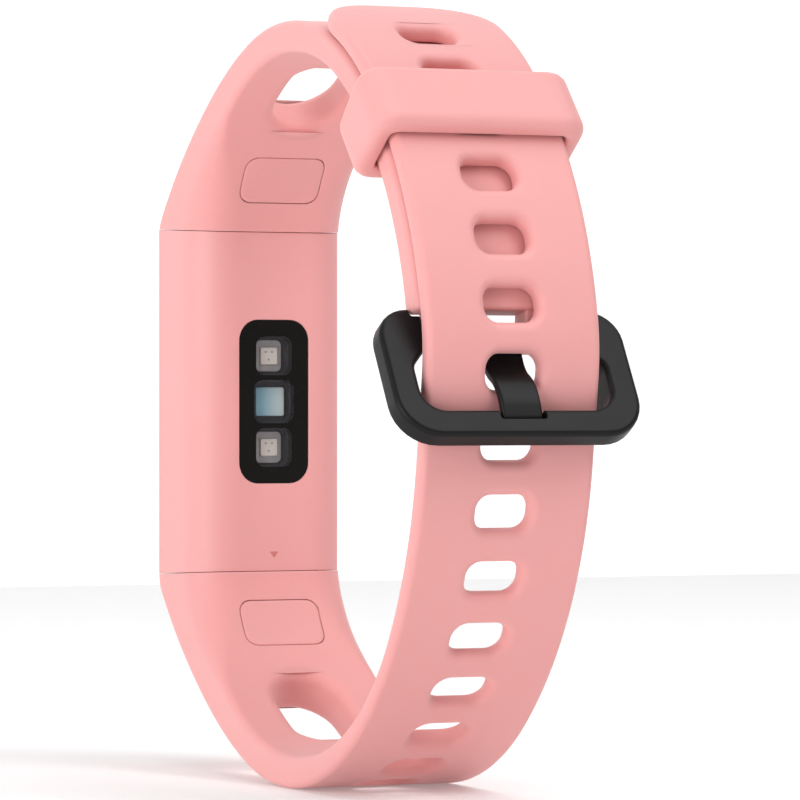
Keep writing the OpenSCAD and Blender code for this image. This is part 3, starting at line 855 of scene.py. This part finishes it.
class Slab(Strip):
    """A straight strip from one seam to the other, between two depths below the skin face."""

    def __init__(self, depth, top):
        self.s = np.array([-30.0, 30.0])
        self.depth, self.top = depth, top
        self.side = 0

    def thick(self, s):
        return self.top - self.depth

    def at(self, s, y, d):
        level = self.depth + d
        lean = (seam_front - seam_skin) / core_t * level
        return (-level, y, s * (1 + lean / seam_skin))


print("shells part at", round(split_x, 2), "mm below the skin face")

# %% Rear shell
window_z, window_y = span("sensor_window", Z)[1], span("sensor_window", Y)[1]
housing = Slab(0, split_x)
window_air, window_r, window_depth = 0.05, 2.25, 0.9
window_pocket = hole(0, window_y + window_air, window_z + window_air, window_r,
    reach=window_z + 1.2, rows=24, skin_rim=0.12, columns=(0, LAST), depth=window_depth, face="skin")
rear = build_strip(housing, round_start(-seam_skin, seam_edge), round_end(seam_skin, seam_edge),
    lambda s: band_w / 2, lambda s: skin_r, lambda s: 0.06, [window_pocket], step=2).piece("rear_shell")


def block(low, high, corner, name):
    """A tool for cutting: a block with rounded corners and crisp edges."""
    return prism(block_outline(low, high, corner), low[0], high[0], CRISP, CRISP, across_x).piece(name)


side_wall, end_wall, skin_wall, past = 1.2, 1.4, 2.9, 1
cut(rear, block((-split_x - past, -band_w / 2 + side_wall, -seam_skin + end_wall),
    (-skin_wall, band_w / 2 - side_wall, seam_skin - end_wall), 1, "cavity"))
well_y, well_z, well_r, well_top = 4.6, 9.4, 2, -0.85
cut(rear, block((-3.5, -well_y, -well_z), (well_top, well_y, well_z), well_r, "well"))
polish(rear, housing_pink, "band", "housing_pink", "rear_housing")

# %% [markdown]
# ## The arrow
# The real mark is a shade in the surface, hardly thicker than paint. A tiny prism in a darker
# pink stands for it; a texture would do as well, but needs an unwrapped shell.

# %% Arrow
mark_pink = finish("mark_pink", (0.60, 0.19, 0.18), drift=0.03, rough=0.5, grain=5200)
arrow_y, arrow_low, arrow_high = 0.55, -17.4, -16.7
arrow = rounded_polygon([(-arrow_y, arrow_high), (0, arrow_low), (arrow_y, arrow_high)], [0.06] * 3, 3)
arrow = prism(arrow, -0.05, 0.02, CRISP, CRISP, across_x).piece("arrow_mark")
polish(arrow, mark_pink, "band", "housing_pink")

# %% [markdown]
# ## The front shell
# The bezel closes the housing and frames the display glass. It is the same slab between two
# other depths, with a seat for the glass and an opening for the display stack behind it.

# %% Front shell
glass_y, glass_z = span("cover_glass", Y)[1], span("cover_glass", Z)[1]
bezel = Slab(split_x + 0.03, core_t)
front = build_strip(bezel, round_start(-seam_skin, seam_edge), round_end(seam_skin, seam_edge),
    lambda s: band_w / 2, lambda s: 0.06, lambda s: front_r, [], step=2).piece("front_shell")
seat_y, seat_z, seat_r, seat_x = glass_y + 0.05, glass_z + 0.05, 2.05, -11.6
cut(front, block((-core_t - past, -seat_y, -seat_z), (seat_x, seat_y, seat_z), seat_r, "seat"))
open_y, open_z, open_r = 7.25, 16.9, 1.5
cut(front, block((-12, -open_y, -open_z), (-10, open_y, open_z), open_r, "opening"))
polish(front, housing_pink, "band", "housing_pink", "front_bezel")

# %% [markdown]
# ## The keeper
# The keeper is a closed loop of the same silicone that slides over both straps. Its cross
# section is a flat bar with very soft edges, carried around a rounded rectangle. Each ring of
# the mesh is one outline around the straps; the soft edges come from rings that are a little
# smaller or larger.

# %% Keeper
keeper_air, keeper_t, keeper_w, keeper_corner = 0.25, 2.0, 8.0, 0.7
keeper_angle = 41.5
inner_r, outer_edge_r = short_inner_r - keeper_air, clasp_r + keeper_air
keeper_mid, keeper_half = (inner_r + outer_edge_r) / 2, (outer_edge_r - inner_r) / 2
clay = Clay()
half_k = keeper_w / 2
bar = rounded_polygon([(-half_k, 0), (half_k, 0), (half_k, keeper_t), (-half_k, keeper_t)],
    [0.45, 0.45, 1.25, 1.25], 7)
rings = []
for along, grow in bar:
    angle = math.radians(keeper_angle) + along / clasp_r
    outline = rounded_loop(strap_w / 2 + keeper_air + grow, keeper_half + grow,
        keeper_corner + grow * 0.85, m=26, k=14)
    ring = [(keeper_c[0] + (keeper_mid + r) * math.cos(angle), y,
        keeper_c[1] + (keeper_mid + r) * math.sin(angle)) for y, r in outline]
    rings.append(clay.loop(ring))
for a, b in zip(rings, rings[1:] + rings[:1]):
    clay.skirt(a, b)
polish(clay.piece("keeper"), silicone, "keeper", "silicone_pink", "keeper_loop")

# %% [markdown]
# ## The buckle
# A matte black frame with soft, rounded edges. It is drawn flat as one outline with open ears
# at the hinge, given its thickness, and set at its tilt on the hinge. A skirt under each
# arm is joined on, a notch takes the tongue's tip, and the ears step back to clear the strap.

# %% Buckle frame
buckle_tilt = math.radians(31)
buckle_w, buckle_top, buckle_end = 27, -2.6, 12.1
bar_in, opening_w, ear_in, ear_end, arm_start = 9.1, 21, 8.4, 1.6, 4.0
frame_low, frame_high, low_edge, high_edge = -1, 1.4, 0.35, 0.55


def on_frame(u, v, level):
    """From the frame's own flat view to its place on the hinge."""
    return (hinge_x + u * math.sin(buckle_tilt) + level * math.cos(buckle_tilt), v,
        hinge_z - u * math.cos(buckle_tilt) + level * math.sin(buckle_tilt))


half_b, half_o = buckle_w / 2, opening_w / 2
ring_out = [(buckle_top, -half_b), (buckle_end, -half_b), (buckle_end, half_b), (buckle_top, half_b),
    (buckle_top, ear_in), (ear_end, ear_in), (arm_start, half_o), (bar_in, half_o),
    (bar_in, -half_o), (arm_start, -half_o), (ear_end, -ear_in), (buckle_top, -ear_in)]
ring_r = [3.6, 4.4, 4.4, 3.6, 0.7, 1.0, 1.4, 2.4, 2.4, 1.4, 1.0, 0.7]
ring = rounded_polygon(ring_out, ring_r, 8)
buckle = prism(ring, frame_low, frame_high, low_edge, high_edge, on_frame, 4).piece("buckle")
print("frame", buckle_w, "mm wide and", frame_high - frame_low, "mm thick")

# %% Skirts, notch and ears
skirt_start, skirt_end, skirt_t, skirt_low = 2.4, 8.4, 1.2, -3.4
for side in (-1, 1):
    near, far = side * half_o, side * (half_o + skirt_t)
    skirt = [(skirt_start, near), (skirt_end, near), (skirt_end, far), (skirt_start, far)]
    skirt = prism(rounded_polygon(skirt[::side], [0.3] * 4), skirt_low, 0, 0.2, CRISP, on_frame)
    cut(buckle, skirt.piece("skirt"), "UNION")
notch_y, notch_end, notch_floor, tool_r = 2.6, 10.3, 0.35, 0.4
notch = rounded_polygon([(bar_in - 1, -notch_y), (notch_end, -notch_y), (notch_end, notch_y),
    (bar_in - 1, notch_y)], [tool_r] * 4)
cut(buckle, prism(notch, notch_floor, 3, 0.1, CRISP, on_frame).piece("notch"))
step_y, step_u = 9.8, -1.6
step_back = rounded_polygon([(-6, -step_y), (step_u, -step_y), (step_u, step_y), (-6, step_y)],
    [tool_r] * 4)
cut(buckle, prism(step_back, -4, 4, CRISP, CRISP, on_frame).piece("step_back"))
polish(buckle, buckle_black, "buckle_frame", "buckle_black", "buckle_frame")

# %% [markdown]
# ## The tongue
# The tongue is a strip bent in a press: its side view is a path with soft bends, thickened to
# both sides and given a round tip. An eye is joined to its root, and a bore takes the spring bar.
# A curve object with a bevel would round its section too much.

# %% Buckle tongue
tongue_path = [(0.54, -1), (1.9, -3.5), (4, -4.6), (5.15, -6.2), (5.72, -7.9)]
tongue_t, tongue_w, tongue_edge, eye_r = 0.9, 4.4, 0.3, 1.5
bend_share, bend_steps = 0.4, 7
path = [(hinge_x + x, hinge_z + z) for x, z in tongue_path]
smooth = [path[0]]
for i in range(1, len(path) - 1):
    p, q, r = Vector(path[i - 1]), Vector(path[i]), Vector(path[i + 1])
    a, b = q + (p - q) * bend_share, q + (r - q) * bend_share
    for j in range(bend_steps):
        t = j / (bend_steps - 1)
        smooth.append(tuple(a * (1 - t) ** 2 + q * 2 * t * (1 - t) + b * t * t))
smooth.append(path[-1])
line = np.array(smooth)
tangent = np.gradient(line, axis=0)
tangent /= np.linalg.norm(tangent, axis=1)[:, None]
normal = np.stack([-tangent[:, 1], tangent[:, 0]], axis=1)
left = [tuple(p) for p in line + normal * tongue_t / 2]
right = [tuple(p) for p in line - normal * tongue_t / 2]
end_dir = tangent[-1]
cap = []
for a in range(20, 161, 20):
    w = math.radians(a)
    cap.append(tuple(line[-1] + tongue_t / 2 * (normal[-1] * math.cos(w) + end_dir * math.sin(w))))
outline = left + cap + right[::-1]
half_t = tongue_w / 2
tongue = prism(outline, -half_t, half_t, tongue_edge, tongue_edge, side_view).piece("tongue")
eye = [(hinge_x + eye_r * math.cos(math.radians(a)), hinge_z + eye_r * math.sin(math.radians(a)))
    for a in range(0, 360, 10)]
cut(tongue, prism(eye, -half_t, half_t, tongue_edge, tongue_edge, side_view).piece("eye"), "UNION")
cut(tongue, prism(bore, -bore_reach, bore_reach, CRISP, CRISP, side_view).piece("bore"))
polish(tongue, buckle_black, "buckle_tongue", "buckle_black", "buckle_tongue")

# %% [markdown]
# ## Inner pieces
# The parts inside the core and the spring bar keep their CAD shapes, which are already right.
# Each gets the finish of its real material.

# %% Finishes for what is inside
steel = finish("steel", (0.55, 0.55, 0.57), drift=0.05, rough=0.32, grain=9000, bump=0.000002, Metallic=1.0)
gold = finish("gold", (0.83, 0.60, 0.25), drift=0.05, rough=0.25, grain=9000, bump=0.000001, Metallic=1.0)
graphite = finish("graphite", (0.045, 0.045, 0.05), drift=0.1, rough=0.55, grain=5000)
board = finish("board", (0.012, 0.09, 0.045), drift=0.2, rough=0.4, grain=2500, cloud=900)
chip = finish("chip", (0.02, 0.02, 0.022), drift=0.15, rough=0.5, grain=8000)
amber = finish("amber", (0.45, 0.22, 0.04), drift=0.1, rough=0.35)
foil = finish("foil", (0.6, 0.6, 0.62), drift=0.05, rough=0.35, grain=1200, bump=0.00002, Metallic=0.8)
rubber = finish("rubber", (0.03, 0.03, 0.03), drift=0.15, rough=0.7, grain=3500, bump=0.00001)
ceramic = finish("ceramic", (0.5, 0.52, 0.52), drift=0.25, rough=0.35, grain=6000, cloud=900)
die_white = finish("die_white", (1.0, 0.97, 0.88), drift=0.05, rough=0.4, grain=6000, cloud=1500)
lens = finish("lens", (0.12, 0.13, 0.14), drift=0.1, rough=0.06, rough_drift=0.02, bump=0.000001,
    Alpha=0.1)
print("inner finishes made")

# %% [markdown]
# ## Lamps and light sensor
# Behind the window sit two lamps and one light sensor. A lamp is a grey ceramic package with a
# pale chip on it and three tiny contact pads; the sensor is a pane of coated silicon whose blue
# fades to grey across its width. That fade is a colour mixed by the place along Y.

# %% Lamps
def flat_chip(name, low, high, corner, edge, look, slot, *replaced):
    """A chip with rounded corners, from its two corners; its broad face looks along +X."""
    outline = block_outline(low, high, corner)
    piece = prism(outline, low[0], high[0], CRISP, edge, across_x).piece(name)
    return polish(piece, look, "band", slot, *replaced)


package_t, chip_y, chip_z = 0.3, 1, 0.95
PADS = [(-0.4, 0.45), (0.35, 0.45), (-0.05, -0.4)]
pad_y, pad_z, pad_t = 0.14, 0.12, 0.02
for name in ("lamp_upper", "lamp_lower"):
    low, high = (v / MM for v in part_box(name))
    middle_z = (low.z + high.z) / 2
    flat_chip(name + "_package", (low.x, low.y, low.z), (low.x + package_t, high.y, high.z), 0.6, 0.05,
        ceramic, "lamp_ceramic", name)
    flat_chip(name + "_chip", (low.x + package_t, -chip_y, middle_z - chip_z),
        (high.x, chip_y, middle_z + chip_z), 0.12, 0.03, die_white, "lamp_ceramic", name)
    for i, (y, z) in enumerate(PADS):
        flat_chip(f"{name}_pad_{i}", (high.x, y - pad_y, middle_z + z - pad_z),
            (high.x + pad_t, y + pad_y, middle_z + z + pad_z), 0.1, 0.005, ceramic, "lamp_ceramic", name)

# %% Light sensor
diode = finish("diode", (0.3, 0.35, 0.36), drift=0.05, rough=0.15, cloud=300)
tree = diode.node_tree
place = tree.nodes.new("ShaderNodeTexCoord")
axes = tree.nodes.new("ShaderNodeSeparateXYZ")
across = tree.nodes.new("ShaderNodeMapRange")
half_pane = 1.2 * MM
across.inputs["From Min"].default_value = -half_pane
across.inputs["From Max"].default_value = half_pane
fade = tree.nodes.new("ShaderNodeMix")
fade.data_type = "RGBA"
fade.inputs["A"].default_value = (0.24, 0.52, 0.64, 1)
fade.inputs["B"].default_value = (0.62, 0.78, 0.8, 1)
tree.links.new(place.outputs["Object"], axes.inputs["Vector"])
tree.links.new(axes.outputs["Y"], across.inputs["Value"])
tree.links.new(across.outputs["Result"], fade.inputs["Factor"])
tree.links.new(fade.outputs["Result"], tree.nodes["Principled BSDF"].inputs["Base Color"])
low, high = (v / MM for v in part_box("photodiode"))
flat_chip("light_sensor", low, high, 0.25, 0.05, diode, "photodiode_blue", "photodiode")

# %% [markdown]
# ## Finishes for the solids that stay
# Every solid that keeps its CAD shape has a slot of its own. Linking the slot to the object and
# not to the mesh gives it a finish here without a change to the mesh that came with the frame.

# %% Hand the finishes out
FINISH_OF = {
    "cover_glass": glass_black, "touch_film": glass_black, "display_panel": glass_black,
    "sensor_window": window_black, "well_lenses": lens,
    "light_baffle": graphite, "sensor_board": graphite, "main_board": board,
    "battery": foil, "battery_pad": rubber, "inner_frame": graphite, "display_flex": amber,
    "display_seal": rubber, "plug_seal": rubber, "tab_seal": rubber, "lower_socket": graphite,
    "upper_socket": graphite, "usb_tongue": graphite, "usb_contacts": gold, "antenna_strip": gold,
    "upper_tab": housing_pink, "processor_shield": steel, "vibration_motor": steel,
    "radio_chip": chip, "motion_sensor": chip, "spring_bar_tube": steel, "spring_bar_coil": steel,
    "spring_bar_tip_left": steel, "spring_bar_tip_right": steel,
}
for node, look in FINISH_OF.items():
    slots = nodes[node].material_slots
    for slot in slots:
        slot.link = "OBJECT"
        slot.material = look
    print(node, "in", look.name)

# %% [markdown]
# ## Studio
# A pale floor that bends up into a backdrop hides the horizon; the backdrop glows a little, as
# a lit one does. The light is a white room with one large softbox overhead, one on the left and
# one in front on the right. A sky picture could light the band too, but softboxes are simple to
# move and give long, clean highlights on silicone.

# %% Floor and backdrop
floor_z = cad_box[0][2]
clay = Clay()
reach_front, reach_back, bend_r, wall_top, half_floor = 5000.0, 500.0, 400.0, 2500.0, 5000.0
profile = [(reach_front, 0.0), (-reach_back, 0.0)]
profile += [(-reach_back - bend_r * math.sin(math.radians(a)), bend_r - bend_r * math.cos(math.radians(a)))
    for a in range(10, 91, 10)]
profile.append((-reach_back - bend_r, wall_top))
rows = [clay.loop([(x, y, floor_z / MM + z) for x, z in profile]) for y in (-half_floor, half_floor)]
for i in range(len(profile) - 1):
    clay.faces.append((rows[0][i], rows[0][i + 1], rows[1][i + 1], rows[1][i]))
floor = clay.piece("floor")
for face in floor.data.polygons:
    face.use_smooth = True
for name, glow in (("paper", 0.17), ("lit_paper", 0.45)):
    floor.data.materials.append(finish(name, (0.8, 0.8, 0.8), drift=0.005, rough=0.8, cloud=4,
        Emission_Color=(1, 1, 1, 1), Emission_Strength=glow))
for face in floor.data.polygons:
    face.material_index = 0 if face.index == 0 else 1
print("floor at", round(floor_z / MM, 2), "mm")


# %% Softboxes and room
def softbox(name, place, aim, size, power):
    lamp = bpy.data.lights.new(name, "AREA")
    lamp.shape = "DISK"
    lamp.size = size
    lamp.energy = power
    holder = collection_link(bpy.data.objects.new(name, lamp))
    holder.location = place
    holder.rotation_euler = (Vector(aim) - Vector(place)).to_track_quat("-Z", "Y").to_euler()
    return holder


middle = (0.03, 0.0, 0.0)
softbox("top", (0.15, 0.1, 0.9), middle, size=0.7, power=3.6)
softbox("left", (0.35, -0.82, 0.1), middle, size=0.8, power=7)
softbox("front_right", (0.6, 0.4, 0.75), middle, size=0.6, power=4)
world = bpy.data.worlds.new("room")
world.use_nodes = True
world.node_tree.nodes["Background"].inputs["Color"].default_value = (1, 1, 1, 1)
world.node_tree.nodes["Background"].inputs["Strength"].default_value = 0.25
bpy.context.scene.world = world
bpy.context.scene.view_settings.view_transform = "Standard"
print(len(bpy.data.lights), "softboxes")

# %% [markdown]
# ## Camera
# The band is seen from the wrist side of the core, turned a little to the left, with a long lens
# at half a metre. A long lens keeps the near strap from looming over the core behind it.

# %% Camera
camera_data = bpy.data.cameras.new("camera")
camera_data.lens = 212.4
camera_data.sensor_width = 36
camera_data.shift_y = 0.002
camera_data.clip_end = 20
camera = collection_link(bpy.data.objects.new("camera", camera_data))
turn_angle = math.radians(24.4)
reach = 0.495
aim = Vector((0.03397, 0, 0))
camera.location = aim + reach * Vector((math.cos(turn_angle), -math.sin(turn_angle), 0))
camera.rotation_euler = (aim - camera.location).to_track_quat("-Z", "Y").to_euler()
bpy.context.scene.camera = camera
print("camera at", [round(v, 3) for v in camera.location])
